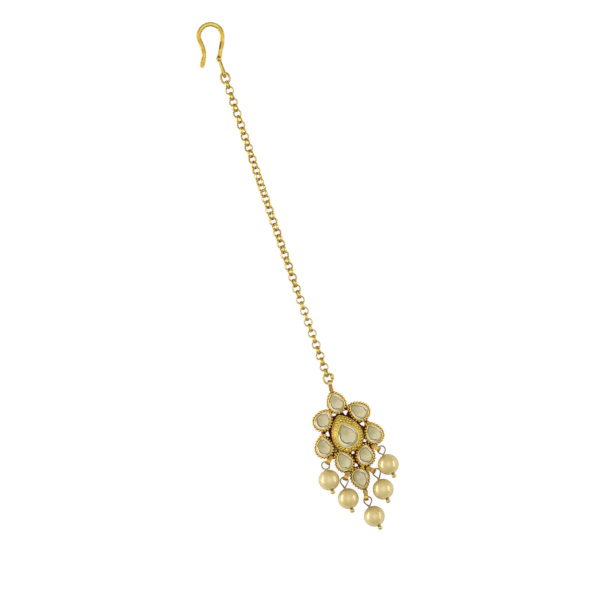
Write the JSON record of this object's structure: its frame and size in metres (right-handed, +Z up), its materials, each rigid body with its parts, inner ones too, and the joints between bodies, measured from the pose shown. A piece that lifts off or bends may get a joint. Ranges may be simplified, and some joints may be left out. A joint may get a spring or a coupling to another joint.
{
  "type": "maang tikka",
  "caption": "Head ornament: pear-set flower pendant with pearl drops on a fine link chain that ends in a hair hook.",
  "frame": {"origin": "on the pendant's flat back, under the centre stone", "axes": "+Y along the chain from the pendant to the hair hook, +Z up out of the stones, +X to the wearer's left as seen from the front"},
  "size_m": [0.0246, 0.1605, 0.0063],
  "materials": {
    "gold": "polished yellow gold plating, dark in the recesses",
    "pin_wire": "drawn wire, plated",
    "kundan_glass": "foil-backed cut glass",
    "pearl": "cream pearl lustre"
  },
  "bodies": {
    "root": {"pendant_frame": "gold", "jump_ring_bottom": "gold", "chain": "gold", "jump_ring_top": "gold", "hook": "gold", "stone_top": "kundan_glass", "stone_upper_right": "kundan_glass", "stone_right": "kundan_glass", "stone_lower_right": "kundan_glass", "stone_bottom": "kundan_glass", "stone_lower_left": "kundan_glass", "stone_left": "kundan_glass", "stone_upper_left": "kundan_glass", "stone_centre": "kundan_glass", "pearl_1": "pearl", "pearl_2": "pearl", "pearl_3": "pearl", "pearl_4": "pearl", "pearl_5": "pearl", "drop_pin_1": "pin_wire", "drop_pin_2": "pin_wire", "drop_pin_3": "pin_wire", "drop_pin_4": "pin_wire", "drop_pin_5": "pin_wire"}
  },
  "joints": []
}
